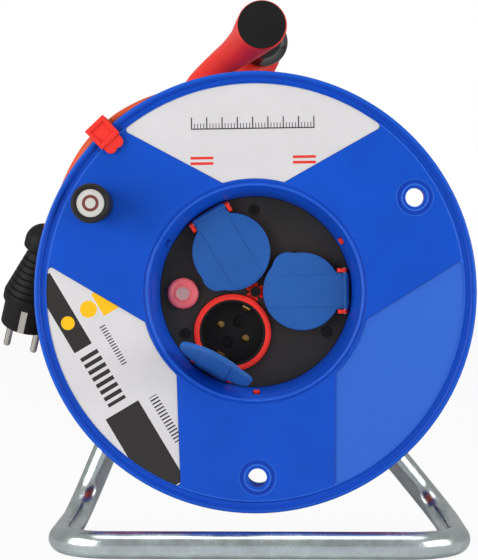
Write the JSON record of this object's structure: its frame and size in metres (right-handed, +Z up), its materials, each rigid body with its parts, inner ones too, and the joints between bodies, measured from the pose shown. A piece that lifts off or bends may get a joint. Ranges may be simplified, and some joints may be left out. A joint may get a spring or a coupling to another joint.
{
  "type": "extension cord reel",
  "caption": "Hand-wound cable drum with lidded earthed sockets in its hub, a crank knob and a plug lead, on a bent tube stand with a carrying handle.",
  "frame": {"origin": "centre of the footprint of the reel without its loose lead, at the floor the stand rests on", "axes": "+X to the user's right, +Y away from the user along the drum's axle, +Z up"},
  "size_m": [0.3211, 0.201, 0.3677],
  "materials": {
    "zinc_tube": "bright zinc-plated steel tube",
    "steel_fastener": "zinc-plated",
    "spring_steel": "dark spring steel",
    "red_plastic": "satin moulded plastic",
    "grip_rubber": "fine-grained soft rubber",
    "black_gloss": "polished",
    "flange_blue": "satin moulded plastic",
    "bush_plastic": "self-lubricating plastic",
    "cover_black": "spark-eroded matt grain",
    "black_screw": "blackened steel",
    "socket_black": "smooth moulded plastic",
    "brass": "bare",
    "button_pink": "translucent soft cap",
    "lid_blue": "fine matt grain",
    "seal_blue": "moulded seal lip",
    "label_white": "satin printed film",
    "cord_orange": "smooth cable sheath",
    "knob_black": "moulded plastic",
    "cap_grey": "satin",
    "plug_black": "moulded solid rubber",
    "nickel": "nickel-plated"
  },
  "bodies": {
    "stand": {"stand_tube": "zinc_tube", "hub_bracket": "zinc_tube", "bracket_bolts": "steel_fastener", "axle": "steel_fastener", "axle_nut": "steel_fastener", "axle_washers": "steel_fastener", "axle_clip": "spring_steel", "handle_arm": "red_plastic", "handle_horn": "red_plastic", "grip_sleeve": "grip_rubber", "grip_collar": "black_gloss", "grip_end_cap": "grip_rubber", "handle_screws": "steel_fastener", "free_lead": "cord_orange", "plug_body": "plug_black", "plug_boot": "plug_black", "plug_pins": "nickel", "plug_earth_strips": "nickel"},
    "drum": {"front_flange": "flange_blue", "barrel": "flange_blue", "rear_flange": "flange_blue", "flange_screws": "steel_fastener", "hub_bush": "bush_plastic", "socket_carrier": "red_plastic", "socket_cover": "cover_black", "cover_screws": "black_screw", "well_insert_1": "socket_black", "well_insert_2": "socket_black", "well_insert_3": "socket_black", "contact_sleeves": "brass", "earth_clips": "brass", "busbars": "brass", "thermal_cutout": "socket_black", "button_spring": "spring_steel", "lid_pin_1": "steel_fastener", "lid_pin_2": "steel_fastener", "lid_pin_3": "steel_fastener", "top_label": "label_white", "side_label": "label_white", "cord_core": "cord_orange", "cord_winding": "cord_orange", "cord_grommet": "grip_rubber", "cord_clamp": "socket_black", "cord_tail": "cord_orange", "rim_clip": "red_plastic", "knob_axle": "steel_fastener"},
    "crank_knob": {"knob_grip": "knob_black", "knob_cap": "cap_grey"},
    "socket_lid_1": {"lid_1": "lid_blue", "lid_seal_1": "seal_blue"},
    "socket_lid_2": {"lid_2": "lid_blue", "lid_seal_2": "seal_blue"},
    "socket_lid_3": {"lid_3": "lid_blue", "lid_seal_3": "seal_blue"},
    "reset": {"reset_button": "button_pink"}
  },
  "joints": [
    {"name": "drum_spin", "type": "hinge", "parent": "stand", "child": "drum", "pos_m": [0, -0.061, 0.173], "axis": [0, 1, 0], "continuous": true},
    {"name": "knob_spin", "type": "hinge", "parent": "drum", "child": "crank_knob", "pos_m": [-0.10408, -0.081, 0.23069], "axis": [0, 1, 0], "continuous": true},
    {"name": "lid_1_hinge", "type": "hinge", "parent": "drum", "child": "socket_lid_1", "pos_m": [-0.03047, -0.0457, 0.22411], "axis": [-0.859, 0, -0.512], "range_deg": [0, 105]},
    {"name": "lid_2_hinge", "type": "hinge", "parent": "drum", "child": "socket_lid_2", "pos_m": [0.05949, -0.0457, 0.17383], "axis": [-0.014, 0, 0.9999], "range_deg": [0, 105]},
    {"name": "lid_3_hinge", "type": "hinge", "parent": "drum", "child": "socket_lid_3", "pos_m": [-0.02903, -0.0457, 0.12106], "axis": [0.8729, 0, -0.4879], "range_deg": [-75, 30]},
    {"name": "reset_press", "type": "slide", "parent": "drum", "child": "reset", "axis": [0, 1, 0], "range_m": [0, 0.002], "stiffness_N_per_m": 300, "springref_m": -0.003}
  ]
}
